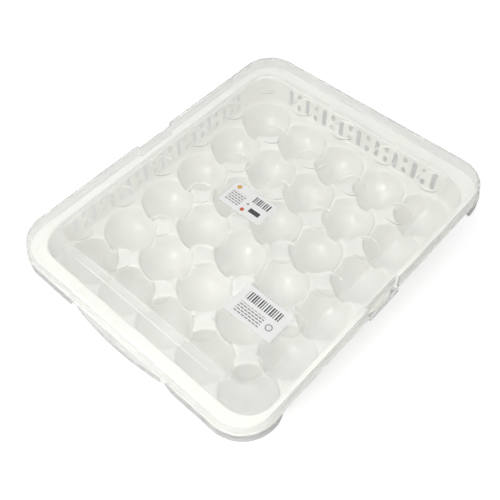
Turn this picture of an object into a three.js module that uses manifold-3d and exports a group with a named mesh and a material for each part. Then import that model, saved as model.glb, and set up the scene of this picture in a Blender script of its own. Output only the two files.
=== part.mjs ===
import * as THREE from 'three';
import { ParametricGeometry } from 'three/addons/geometries/ParametricGeometry.js';
import { mergeVertices } from 'three/addons/utils/BufferGeometryUtils.js';
import Module from 'manifold-3d';

// A storage box for thirty eggs: a white moulded tray of egg cups with vented side walls,
// a clear lift-off lid and two paper stickers on the lid.
// Millimetres, +Z up, X along the long side, origin on the ground under the middle of the box.

// Egg cups
const CUP_PITCH = 47;
const CUP_COLUMNS = 6;
const CUP_ROWS = 5;
const CUP_RIM_RADIUS = 24.75;
const CUP_DEPTH = 27;
const CUP_FLOOR_RADIUS = 5.5;
const TRAY_WALL = 1.5;
const CUP_SIDES = 12;
const CUP_RINGS = 3;

// Tray walls and their flange
const DECK_MARGIN = 5;
const WALL_HEIGHT = 29.5;
const WALL_CORNER_RADIUS = 24;
const END_FLANGE_WIDTH = 16.1;
const SIDE_FLANGE_WIDTH = 9.6;
const FLANGE_CORNER_RADIUS = 31;
const FLANGE_THICKNESS = 1.6;
const CORNER_STEPS = 5;

// Vent slots
const SLOT_SPACING = 10.7;
const SLOT_WIDTH = 5;
const SLOT_FOOT = 3;
const LONG_SLOT_HEIGHT = 21;
const SHORT_SLOT_HEIGHT = 7.6;
const LONG_SLOTS_ON_SIDE = 11;
const LONG_SLOTS_ON_END = 9;

// Lid
const LID_WALL = 1.5;
const LID_RISE = 14;
const LID_OVERHANG = 0.6;
const LID_SKIRT_DRAFT = 0.5;
const LID_EDGE_ROUND = 1.8;
const LEDGE_WIDTH = 2.1;
const PANEL_RISE = 2.4;
const PANEL_BEVEL = 6;
const PANEL_END_INSET = 29.5;
const PANEL_SIDE_INSET = 24;
const PANEL_CORNER_RADIUS = 13;
const DIMPLE_RADIUS = 12;
const DIMPLE_DEPTH = 0.8;
const DIMPLE_SIDES = 12;
const SKIRT_BAND_DEPTH = 10.5;
const SKIRT_BAND_REACH = 34;

// Finger grips on the short ends of the lid
const GRIP_LENGTH = 94;
const GRIP_BULGE = 3.6;
const GRIP_GAP = 4;
const GRIP_DEPTH = 7;
const GRIP_STEPS = 10;

// Snap catches in the middle of the long sides
const CATCH_LENGTH = 40;
const CATCH_SETBACK = 3;
const STRAP_THICKNESS = 1.3;
const STRAP_HEIGHT = 4;
const LUG_LENGTH = 30;
const LUG_ROOT = 3;
const LUG_STEPS = 8;

// Stickers
const STICKER_THICKNESS = 0.2;
const CENTRE_STICKER_LENGTH = 45;
const CENTRE_STICKER_WIDTH = 26;
const CENTRE_STICKER_X = 4.7;
const CENTRE_STICKER_Y = -8.2;
const CORNER_STICKER_LENGTH = 46.5;
const CORNER_STICKER_WIDTH = 29.4;
const CORNER_STICKER_X = 79;
const CORNER_STICKER_Y = 70.5;
const STICKER_CORNER = 2;
const STICKER_STEPS = 3;

// Clearances and cutting
const SEAM = 0.3;
const RUNNING_CLEARANCE = 0.35;
const OVERRUN = 2;

// Heights above the ground
const DECK_Z = CUP_DEPTH + TRAY_WALL;
const FLANGE_Z = DECK_Z + WALL_HEIGHT;
const RIM_Z = FLANGE_Z + LID_RISE;
const PANEL_Z = RIM_Z + PANEL_RISE;

// Half sizes of the rounded rectangles that the box is drawn on
const floorX = (CUP_PITCH * CUP_COLUMNS) / 2 + DECK_MARGIN;
const floorY = (CUP_PITCH * CUP_ROWS) / 2 + DECK_MARGIN;
const flangeX = floorX + END_FLANGE_WIDTH;
const flangeY = floorY + SIDE_FLANGE_WIDTH;
const rimX = flangeX - LID_OVERHANG;
const rimY = flangeY - LID_OVERHANG;
const rimRadius = FLANGE_CORNER_RADIUS - LID_OVERHANG;
const panelX = rimX - PANEL_END_INSET;
const panelY = rimY - PANEL_SIDE_INSET;

// Finishes
const WHITE = { color: 0xf2f2ec, roughness: 0.45, metalness: 0 };
const CLEAR = { color: 0xe3e8e6, roughness: 0.08, metalness: 0 };
const PAPER = { color: 0xfafafa, roughness: 0.6, metalness: 0 };

const wasm = await Module();
wasm.setup();

// A closed geometry as a solid that can be joined and cut
function solid(geometry) {
  const bare = geometry.clone();
  bare.deleteAttribute('normal');
  bare.deleteAttribute('uv');
  const merged = mergeVertices(bare);
  const mesh = new wasm.Mesh({
    numProp: 3,
    vertProperties: new Float32Array(merged.attributes.position.array),
    triVerts: new Uint32Array(merged.index.array),
  });
  mesh.merge();
  return new wasm.Manifold(mesh);
}

function geometryOf(body) {
  const { vertProperties, triVerts } = body.getMesh();
  const geometry = new THREE.BufferGeometry();
  geometry.setAttribute('position', new THREE.BufferAttribute(new Float32Array(vertProperties), 3));
  geometry.setIndex(new THREE.BufferAttribute(new Uint32Array(triVerts), 1));
  geometry.computeVertexNormals();
  return geometry;
}

function joined(bodies) {
  return bodies.reduce((sum, body) => sum.add(body));
}

// A box given by its low and high corners
function block(low, high) {
  const size = high.map((value, axis) => value - low[axis]);
  const middle = high.map((value, axis) => (value + low[axis]) / 2);
  return solid(new THREE.BoxGeometry(...size).translate(...middle));
}

// The corners of a rounded rectangle, counterclockwise from the +X side, each corner an arc
function roundedOutline(halfX, halfY, radius, steps = CORNER_STEPS) {
  const centres = [[1, 1], [-1, 1], [-1, -1], [1, -1]];
  return centres.flatMap(([signX, signY], corner) =>
    Array.from({ length: steps + 1 }, (_, step) => {
      const angle = (Math.PI / 2) * (corner + step / steps);
      return new THREE.Vector2(
        signX * (halfX - radius) + radius * Math.cos(angle),
        signY * (halfY - radius) + radius * Math.sin(angle),
      );
    }));
}

// A ring whose section is a closed list of rounded rectangles, each with its own size and height
function ring(sections) {
  const outlines = sections.map(({ x, y, radius, z }) =>
    roundedOutline(x, y, radius).map((point) => new THREE.Vector3(point.x, point.y, z)));
  const around = outlines[0].length;
  const surface = (u, v, target) => {
    const section = outlines[Math.round(v * outlines.length) % outlines.length];
    target.copy(section[Math.round(u * around) % around]);
  };
  return solid(new ParametricGeometry(surface, around, outlines.length));
}

function plate(outline, low, high) {
  const geometry = new THREE.ExtrudeGeometry(new THREE.Shape(outline), {
    depth: high - low,
    bevelEnabled: false,
  });
  return solid(geometry.translate(0, 0, low));
}

// Cup columns and rows, counted from the middle
const columnPlaces = Array.from({ length: CUP_COLUMNS }, (_, i) => (i - (CUP_COLUMNS - 1) / 2) * CUP_PITCH);
const rowPlaces = Array.from({ length: CUP_ROWS }, (_, i) => (i - (CUP_ROWS - 1) / 2) * CUP_PITCH);

// An egg cup: a quarter ellipse turned round the upright axis, with a small flat floor
function bowl(rim, depth, floor, top) {
  const lastAngle = Math.acos(floor / rim);
  const scale = depth / Math.sin(lastAngle);
  const profile = [new THREE.Vector2(0, -depth)];
  for (let i = CUP_RINGS; i >= 0; i -= 1) {
    const angle = (lastAngle * i) / CUP_RINGS;
    profile.push(new THREE.Vector2(rim * Math.cos(angle), -scale * Math.sin(angle)));
  }
  profile.push(new THREE.Vector2(rim, top), new THREE.Vector2(0, top));
  const geometry = new THREE.LatheGeometry(profile, CUP_SIDES);
  return geometry.rotateX(Math.PI / 2).rotateZ(Math.PI / CUP_SIDES).translate(0, 0, DECK_Z);
}

function atEachCup(geometry) {
  return columnPlaces.flatMap((x) => rowPlaces.map((y) => solid(geometry.clone().translate(x, y, 0))));
}

// The tray before it is divided: floor, cups, walls and flange in one skin
function trayFloor() {
  const deck = plate(roundedOutline(floorX, floorY, WALL_CORNER_RADIUS), DECK_Z - TRAY_WALL, DECK_Z);
  const outside = bowl(CUP_RIM_RADIUS + TRAY_WALL, CUP_DEPTH + TRAY_WALL, CUP_FLOOR_RADIUS + TRAY_WALL, 0);
  const inside = bowl(CUP_RIM_RADIUS, CUP_DEPTH, CUP_FLOOR_RADIUS, OVERRUN);
  return joined([deck, ...atEachCup(outside)]).subtract(joined(atEachCup(inside)));
}

function trayWall() {
  const inner = { x: floorX, y: floorY, radius: WALL_CORNER_RADIUS };
  const outer = {
    x: floorX + TRAY_WALL,
    y: floorY + TRAY_WALL,
    radius: WALL_CORNER_RADIUS + TRAY_WALL,
  };
  const edge = { x: flangeX, y: flangeY, radius: FLANGE_CORNER_RADIUS };
  return ring([
    { ...inner, z: DECK_Z - TRAY_WALL },
    { ...outer, z: DECK_Z - TRAY_WALL },
    { ...outer, z: FLANGE_Z - FLANGE_THICKNESS },
    { ...edge, z: FLANGE_Z - FLANGE_THICKNESS },
    { ...edge, z: FLANGE_Z },
    { ...inner, z: FLANGE_Z },
  ]);
}

// A slot outline with blunt round ends, upright in the XZ plane
function slotCutter(height, low) {
  const half = SLOT_WIDTH / 2;
  const blunt = half * (1 - Math.SQRT1_2);
  const outline = [
    [half, low + half],
    [half, low + height - half],
    [half - blunt, low + height - blunt],
    [blunt - half, low + height - blunt],
    [-half, low + height - half],
    [-half, low + half],
    [blunt - half, low + blunt],
    [half - blunt, low + blunt],
  ].map(([across, up]) => new THREE.Vector2(across, up));
  const depth = TRAY_WALL + 2 * OVERRUN;
  return new THREE.ExtrudeGeometry(new THREE.Shape(outline), { depth, bevelEnabled: false })
    .translate(0, 0, -depth / 2)
    .rotateX(Math.PI / 2);
}

// A row of slots along a wall: long ones with a pair of short ones between each two
function slotRow(longSlots, place) {
  const foot = DECK_Z + SLOT_FOOT;
  const long = slotCutter(LONG_SLOT_HEIGHT, foot);
  const low = slotCutter(SHORT_SLOT_HEIGHT, foot);
  const high = slotCutter(SHORT_SLOT_HEIGHT, foot + LONG_SLOT_HEIGHT - SHORT_SLOT_HEIGHT);
  const columns = 2 * longSlots - 1;
  return Array.from({ length: columns }, (_, i) => {
    const along = (i - (columns - 1) / 2) * SLOT_SPACING;
    const cutters = i % 2 === 0 ? [long] : [low, high];
    return cutters.map((cutter) => solid(place(cutter.clone().translate(along, 0, 0))));
  }).flat();
}

function ventSlots() {
  const wallX = floorX + TRAY_WALL / 2;
  const wallY = floorY + TRAY_WALL / 2;
  return joined([
    ...slotRow(LONG_SLOTS_ON_SIDE, (slot) => slot.translate(0, wallY, 0)),
    ...slotRow(LONG_SLOTS_ON_SIDE, (slot) => slot.translate(0, -wallY, 0)),
    ...slotRow(LONG_SLOTS_ON_END, (slot) => slot.rotateZ(Math.PI / 2).translate(wallX, 0, 0)),
    ...slotRow(LONG_SLOTS_ON_END, (slot) => slot.rotateZ(Math.PI / 2).translate(-wallX, 0, 0)),
  ]);
}

// A flat crescent standing on the +Y side of a straight chord
function crescent(length, bulge, chordY, root, steps, low, high) {
  const arc = Array.from({ length: steps + 1 }, (_, i) => {
    const share = 1 - (2 * i) / steps;
    return new THREE.Vector2((share * length) / 2, chordY + bulge * (1 - share * share));
  });
  const outline = [
    new THREE.Vector2(-length / 2, chordY - root),
    new THREE.Vector2(length / 2, chordY - root),
    ...arc,
  ];
  return plate(outline, low, high);
}

function bothSides(body) {
  return body.add(body.rotate([0, 0, 180]));
}

// The flange steps back beside each lug, so that the strap of the lid can pass
function catchLugs() {
  const chordY = flangeY - CATCH_SETBACK;
  const low = FLANGE_Z - FLANGE_THICKNESS;
  return bothSides(crescent(LUG_LENGTH, CATCH_SETBACK, chordY, LUG_ROOT, LUG_STEPS, low, FLANGE_Z));
}

function catchNotches() {
  const half = CATCH_LENGTH / 2 - LID_WALL;
  return bothSides(block(
    [-half, flangeY - CATCH_SETBACK, FLANGE_Z - FLANGE_THICKNESS - OVERRUN],
    [half, flangeY + OVERRUN, FLANGE_Z + OVERRUN],
  ));
}

// The moulded lid
function lidShell() {
  const rim = (inset, z) => ({ x: rimX - inset, y: rimY - inset, radius: rimRadius - inset, z });
  const step = (outset, z) => ({
    x: panelX + outset,
    y: panelY + outset,
    radius: PANEL_CORNER_RADIUS + outset,
    z,
  });
  const hem = FLANGE_Z + SEAM;
  const round = LID_EDGE_ROUND * (1 - Math.SQRT1_2);
  const skin = ring([
    step(-LID_WALL, PANEL_Z - LID_WALL),
    step(0, PANEL_Z - LID_WALL),
    step(PANEL_BEVEL, RIM_Z - LID_WALL),
    rim(LID_WALL, RIM_Z - LID_WALL),
    rim(LID_WALL - LID_SKIRT_DRAFT, hem),
    rim(-LID_SKIRT_DRAFT, hem),
    rim(0, RIM_Z - LID_EDGE_ROUND),
    rim(round, RIM_Z - round),
    rim(LID_EDGE_ROUND, RIM_Z),
    step(PANEL_BEVEL, RIM_Z),
    step(0, PANEL_Z),
    step(-LID_WALL, PANEL_Z),
  ]);
  const panel = plate(
    roundedOutline(panelX - LID_WALL / 2, panelY - LID_WALL / 2, PANEL_CORNER_RADIUS - LID_WALL / 2),
    PANEL_Z - LID_WALL,
    PANEL_Z,
  );
  return skin.add(panel);
}

// Round recesses over the cups, which take the feet of another box stacked on top
function dimples() {
  const height = DIMPLE_DEPTH + OVERRUN;
  const cutter = new THREE.CylinderGeometry(DIMPLE_RADIUS, DIMPLE_RADIUS, height, DIMPLE_SIDES)
    .rotateX(Math.PI / 2)
    .translate(0, 0, PANEL_Z - DIMPLE_DEPTH + height / 2);
  return joined(atEachCup(cutter));
}

// The deeper band of the skirt, stepped out over the flange at the corners and short ends
function skirtBand() {
  const around = (outset, z) => ({
    x: rimX + outset,
    y: rimY + outset,
    radius: rimRadius + outset,
    z,
  });
  const top = FLANGE_Z + SEAM + LID_WALL;
  const foot = top - SKIRT_BAND_DEPTH;
  const inside = LID_OVERHANG + RUNNING_CLEARANCE;
  const band = ring([
    around(-LID_WALL / 2, top),
    around(-LID_WALL / 2, top - LID_WALL),
    around(inside, top - LID_WALL),
    around(inside, foot),
    around(LEDGE_WIDTH + LID_SKIRT_DRAFT, foot),
    around(LEDGE_WIDTH, top),
  ]);
  const reachX = flangeX - SKIRT_BAND_REACH;
  const gripHalf = GRIP_LENGTH / 2 + GRIP_GAP;
  const low = foot - OVERRUN;
  const high = top + OVERRUN;
  const sideGap = block([-reachX, -rimY * 2, low], [reachX, rimY * 2, high]);
  const endGap = block([-rimX * 2, -gripHalf, low], [rimX * 2, gripHalf, top - LID_WALL]);
  return band.subtract(sideGap).subtract(endGap);
}

// A crescent lip to hook the fingers under, hollow below
function grips() {
  const top = FLANGE_Z + SEAM + LID_WALL;
  const chord = rimX + LEDGE_WIDTH;
  const lip = crescent(GRIP_LENGTH, GRIP_BULGE, chord, LEDGE_WIDTH, GRIP_STEPS, top - LID_WALL, top);
  const curtain = crescent(GRIP_LENGTH, GRIP_BULGE, chord, 0, GRIP_STEPS, top - GRIP_DEPTH, top);
  const hollowChord = chord - LID_WALL;
  const hollow = crescent(
    GRIP_LENGTH, GRIP_BULGE, hollowChord, OVERRUN, GRIP_STEPS, top - GRIP_DEPTH - OVERRUN, top - LID_WALL);
  const grip = lip.add(curtain.subtract(hollow));
  return grip.rotate([0, 0, -90]).add(grip.rotate([0, 0, 90]));
}

// The rim is set back over each catch, and a strap passes outside the lug
function catchPockets() {
  const half = CATCH_LENGTH / 2;
  return bothSides(block(
    [-half, rimY - CATCH_SETBACK, FLANGE_Z - OVERRUN],
    [half, rimY + OVERRUN, RIM_Z + OVERRUN],
  ));
}

function catchFrames() {
  const half = CATCH_LENGTH / 2;
  const back = rimY - CATCH_SETBACK;
  const hem = FLANGE_Z + SEAM;
  const strapIn = flangeY + RUNNING_CLEARANCE;
  const strapOut = strapIn + STRAP_THICKNESS;
  const top = hem + LID_WALL;
  const backWall = block([-half, back - LID_WALL, hem], [half, back, RIM_Z]);
  const cheek = block([half - LID_WALL, back - LID_WALL, hem], [half, rimY - LID_EDGE_ROUND, RIM_Z]);
  const arm = block([half - LID_WALL, back - LID_WALL, hem], [half, strapOut, top]);
  const strap = block([-half, strapIn, top - STRAP_HEIGHT], [half, strapOut, top]);
  const mirror = (body) => body.add(body.mirror([1, 0, 0]));
  return bothSides(joined([backWall, mirror(cheek), mirror(arm), strap]));
}

function lid() {
  return lidShell()
    .subtract(dimples())
    .add(skirtBand())
    .add(grips())
    .subtract(catchPockets())
    .add(catchFrames());
}

const tray = trayFloor()
  .add(trayWall().subtract(catchNotches()).add(catchLugs()))
  .subtract(ventSlots());

const box = new THREE.Group();

function addPiece(name, geometry, finish) {
  const mesh = new THREE.Mesh(geometry, new THREE.MeshStandardMaterial(finish));
  mesh.name = name;
  box.add(mesh);
}

// The tray is one moulding. Its cups, walls and corners are kept as pieces of their own,
// with a seam between them, so that each hollow stays open.
const seamInset = TRAY_WALL + SEAM / 2;
const seamOutset = TRAY_WALL - SEAM / 2;
const floorOutline = (inset) => roundedOutline(floorX - inset, floorY - inset, WALL_CORNER_RADIUS - inset);
const floorArea = plate(floorOutline(seamInset), 0, FLANGE_Z);
const wallHole = plate(floorOutline(seamOutset), -OVERRUN, RIM_Z);

const cups = tray.intersect(floorArea);
columnPlaces.forEach((x, column) => {
  rowPlaces.forEach((y, row) => {
    const reach = (index, count, place, edge) => [
      index === 0 ? -edge : place - (CUP_PITCH - SEAM) / 2,
      index === count - 1 ? edge : place + (CUP_PITCH - SEAM) / 2,
    ];
    const [lowX, highX] = reach(column, CUP_COLUMNS, x, floorX);
    const [lowY, highY] = reach(row, CUP_ROWS, y, floorY);
    const cell = cups.intersect(block([lowX, lowY, -OVERRUN], [highX, highY, RIM_Z]));
    addPiece(`egg_cup_row${row + 1}_${column + 1}`, geometryOf(cell), WHITE);
  });
});

// The eight parts of a ring round the box: their names and the bands they lie in along X and Y
const RING_PARTS = [
  ['side_front', 'middle', 'low'],
  ['side_back', 'middle', 'high'],
  ['end_left', 'low', 'middle'],
  ['end_right', 'high', 'middle'],
  ['corner_front_left', 'low', 'low'],
  ['corner_front_right', 'high', 'low'],
  ['corner_back_left', 'low', 'high'],
  ['corner_back_right', 'high', 'high'],
];

function addRingParts(prefix, body, turnX, turnY, finish) {
  const far = flangeX * 2;
  const spans = (turn) => ({
    low: [-far, -turn - SEAM / 2],
    middle: [-turn + SEAM / 2, turn - SEAM / 2],
    high: [turn + SEAM / 2, far],
  });
  RING_PARTS.forEach(([name, bandX, bandY]) => {
    const [lowX, highX] = spans(turnX)[bandX];
    const [lowY, highY] = spans(turnY)[bandY];
    const part = body.intersect(block([lowX, lowY, -OVERRUN], [highX, highY, PANEL_Z]));
    addPiece(`${prefix}_${name}`, geometryOf(part), finish);
  });
}

addRingParts('tray', tray.subtract(wallHole), floorX - WALL_CORNER_RADIUS, floorY - WALL_CORNER_RADIUS, WHITE);

// The lid is one moulding too. Its flat top and the parts of its skirt are kept as pieces of their own.
const topFoot = RIM_Z - LID_WALL;
const wholeLid = lid();
addPiece('lid_top', geometryOf(wholeLid.trimByPlane([0, 0, 1], topFoot)), CLEAR);
const skirt = wholeLid.trimByPlane([0, 0, -1], SEAM - topFoot);
addRingParts('lid', skirt, flangeX - SKIRT_BAND_REACH, rimY - rimRadius, CLEAR);

function sticker(width, length, x, y) {
  const outline = roundedOutline(width / 2, length / 2, STICKER_CORNER, STICKER_STEPS);
  const low = PANEL_Z + SEAM;
  return geometryOf(plate(outline, low, low + STICKER_THICKNESS).translate([x, y, 0]));
}

const centreSticker = sticker(
  CENTRE_STICKER_WIDTH, CENTRE_STICKER_LENGTH, CENTRE_STICKER_X, CENTRE_STICKER_Y);
const cornerSticker = sticker(
  CORNER_STICKER_WIDTH, CORNER_STICKER_LENGTH, CORNER_STICKER_X, CORNER_STICKER_Y);
addPiece('sticker_centre', centreSticker, PAPER);
addPiece('sticker_corner', cornerSticker, PAPER);

export default box;
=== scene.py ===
"""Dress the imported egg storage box: a white tray of thirty egg cups, a clear lid and two plain stickers.

The classes hold sizes in millimetres. Meshes are written in metres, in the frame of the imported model:
+X along the long side, +Z up, origin on the ground under the middle of the box.
"""

from __future__ import annotations

import logging
import math
from dataclasses import dataclass, field
from enum import Enum
from typing import Any

import bpy
import numpy as np
from mathutils import Matrix, Vector
from mathutils.geometry import delaunay_2d_cdt


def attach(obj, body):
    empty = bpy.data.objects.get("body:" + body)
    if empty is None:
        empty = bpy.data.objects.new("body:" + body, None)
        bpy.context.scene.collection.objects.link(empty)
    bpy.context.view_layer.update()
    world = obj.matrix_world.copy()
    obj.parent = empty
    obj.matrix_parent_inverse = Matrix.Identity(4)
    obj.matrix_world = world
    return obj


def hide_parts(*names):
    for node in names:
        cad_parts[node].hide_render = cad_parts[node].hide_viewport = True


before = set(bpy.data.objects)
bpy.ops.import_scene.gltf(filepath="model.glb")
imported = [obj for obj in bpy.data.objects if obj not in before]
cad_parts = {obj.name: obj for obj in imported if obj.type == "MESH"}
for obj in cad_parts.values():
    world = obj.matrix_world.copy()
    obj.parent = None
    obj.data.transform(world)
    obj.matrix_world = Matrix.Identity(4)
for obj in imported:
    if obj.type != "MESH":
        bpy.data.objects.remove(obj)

log = logging.getLogger("egg_box")

MILLIMETRE = 0.001
WELD = 0.01
FULL_TURN = 2 * math.pi
QUARTER_TURN = math.pi / 2
TINY = 1e-6
CORNER_SIGNS = np.array([[1, 1], [-1, 1], [-1, -1], [1, -1]], float)

Colour = tuple[float, float, float, float]
Area = tuple[float, float, float, float]
Rows = tuple[tuple[float, float], ...]


class Value:
    """A number socket whose operators add Math nodes to its tree."""

    def __init__(self, graph: Graph, socket: bpy.types.NodeSocket) -> None:
        """Wrap an output socket of a graph."""
        self.graph = graph
        self.socket = socket

    def _math(self, operation: str, *numbers: Any) -> Value:
        """Add one Math node.

        Args:
            operation: The Math node's operation.
            numbers: Its inputs, as values or plain numbers.

        Returns:
            The node's result.
        """
        node = self.graph.add("ShaderNodeMath", {"operation": operation}, dict(enumerate(numbers)))
        return Value(self.graph, node.outputs[0])

    def __add__(self, other: Any) -> Value:
        """Add."""
        return self._math("ADD", self, other)

    __radd__ = __add__

    def __sub__(self, other: Any) -> Value:
        """Subtract."""
        return self._math("SUBTRACT", self, other)

    def __rsub__(self, other: Any) -> Value:
        """Subtract this from a number."""
        return self._math("SUBTRACT", other, self)

    def __mul__(self, other: Any) -> Value:
        """Multiply."""
        return self._math("MULTIPLY", self, other)

    __rmul__ = __mul__

    def __truediv__(self, other: Any) -> Value:
        """Divide."""
        return self._math("DIVIDE", self, other)

    def __gt__(self, other: Any) -> Value:
        """Give 1 where this is greater."""
        return self._math("GREATER_THAN", self, other)

    def __lt__(self, other: Any) -> Value:
        """Give 1 where this is less."""
        return self._math("LESS_THAN", self, other)

    def __mod__(self, other: Any) -> Value:
        """Give the remainder, never negative."""
        return self._math("FLOORED_MODULO", self, other)

    def __abs__(self) -> Value:
        """Drop the sign."""
        return self._math("ABSOLUTE", self)

    def floor(self) -> Value:
        """Round down."""
        return self._math("FLOOR", self)

    def sign(self) -> Value:
        """Give 1, 0 or -1."""
        return self._math("SIGN", self)

    def heading(self, across: Value) -> Value:
        """Give the angle of the arrow whose upward part is this and whose other part is across."""
        return self._math("ARCTAN2", self, across)

    def between(self, low: float, high: float) -> Value:
        """Give 1 from low to high."""
        return (self > low) * (self < high)


class Graph:
    """A node tree whose nodes all come from one method."""

    def __init__(self, tree: bpy.types.NodeTree) -> None:
        """Take a node tree."""
        self.tree = tree

    def feed(self, socket: bpy.types.NodeSocket, value: Any) -> None:
        """Link a socket or set its value.

        Args:
            socket: The input socket.
            value: A Value, a socket, a list of sockets for an input that takes many, or a plain value.
        """
        if isinstance(value, list):
            for one in value:
                self.feed(socket, one)
        elif isinstance(value, Value):
            self.tree.links.new(value.socket, socket)
        elif isinstance(value, bpy.types.NodeSocket):
            self.tree.links.new(value, socket)
        else:
            socket.default_value = value

    def add(self, kind: str, settings: dict | None = None, inputs: dict | None = None) -> bpy.types.Node:
        """Add a node.

        Args:
            kind: The node's type.
            settings: Its properties by name.
            inputs: Values or links by socket name or number.

        Returns:
            The new node.
        """
        node = self.tree.nodes.new(kind)
        for name, value in (settings or {}).items():
            setattr(node, name, value)
        for name, value in (inputs or {}).items():
            self.feed(node.inputs[name], value)
        return node

    def axes(self, vector: bpy.types.NodeSocket) -> list[Value]:
        """Split a vector into its three numbers."""
        node = self.add("ShaderNodeSeparateXYZ", inputs={0: vector})
        return [Value(self, output) for output in node.outputs]


class Shader(Graph):
    """A material's node tree."""

    def __init__(self, name: str) -> None:
        """Start an empty material.

        Args:
            name: The material's name.
        """
        self.material = bpy.data.materials.new(name)
        self.material.use_nodes = True
        super().__init__(self.material.node_tree)
        self.tree.nodes.clear()

    def place(self) -> bpy.types.NodeSocket:
        """Give the Object coordinates, in metres."""
        return self.add("ShaderNodeTexCoord").outputs["Object"]

    def noise(self, size: float, detail: float = 2.0) -> Value:
        """Give soft noise from 0 to 1.

        Args:
            size: The width of a patch, in millimetres.
            detail: How many finer layers are added.

        Returns:
            The noise.
        """
        inputs = {"Vector": self.place(), "Scale": 1 / (size * MILLIMETRE), "Detail": detail}
        node = self.add("ShaderNodeTexNoise", inputs=inputs)
        return Value(self, node.outputs["Fac"])

    def blend(self, share: Any, first: Any, second: Any) -> bpy.types.NodeSocket:
        """Mix two colours.

        Args:
            share: 0 for the first colour, 1 for the second.
            first: A colour or a colour socket.
            second: A colour or a colour socket.

        Returns:
            The mixed colour's socket.
        """
        node = self.add("ShaderNodeMix", {"data_type": "RGBA"}, {0: share, 6: first, 7: second})
        return node.outputs[2]

    def mixed(self, share: Any, first: bpy.types.Node, second: bpy.types.Node) -> bpy.types.Node:
        """Mix two surfaces, with 0 for the first and 1 for the second."""
        inputs = {0: share, 1: first.outputs[0], 2: second.outputs[0]}
        return self.add("ShaderNodeMixShader", inputs=inputs)

    def bump(self, height: Value, depth: float, strength: float) -> bpy.types.NodeSocket:
        """Give a normal from a height.

        Args:
            height: The height, from 0 to 1.
            depth: What a height of 1 stands for, in millimetres.
            strength: How strongly it shows.

        Returns:
            The normal's socket.
        """
        inputs = {"Strength": strength, "Distance": depth * MILLIMETRE, "Height": height}
        return self.add("ShaderNodeBump", inputs=inputs).outputs[0]

    def finish(self, surface: bpy.types.Node) -> bpy.types.Material:
        """Close the tree with its output and give the material."""
        self.add("ShaderNodeOutputMaterial", inputs={"Surface": surface.outputs[0]})
        return self.material


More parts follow.
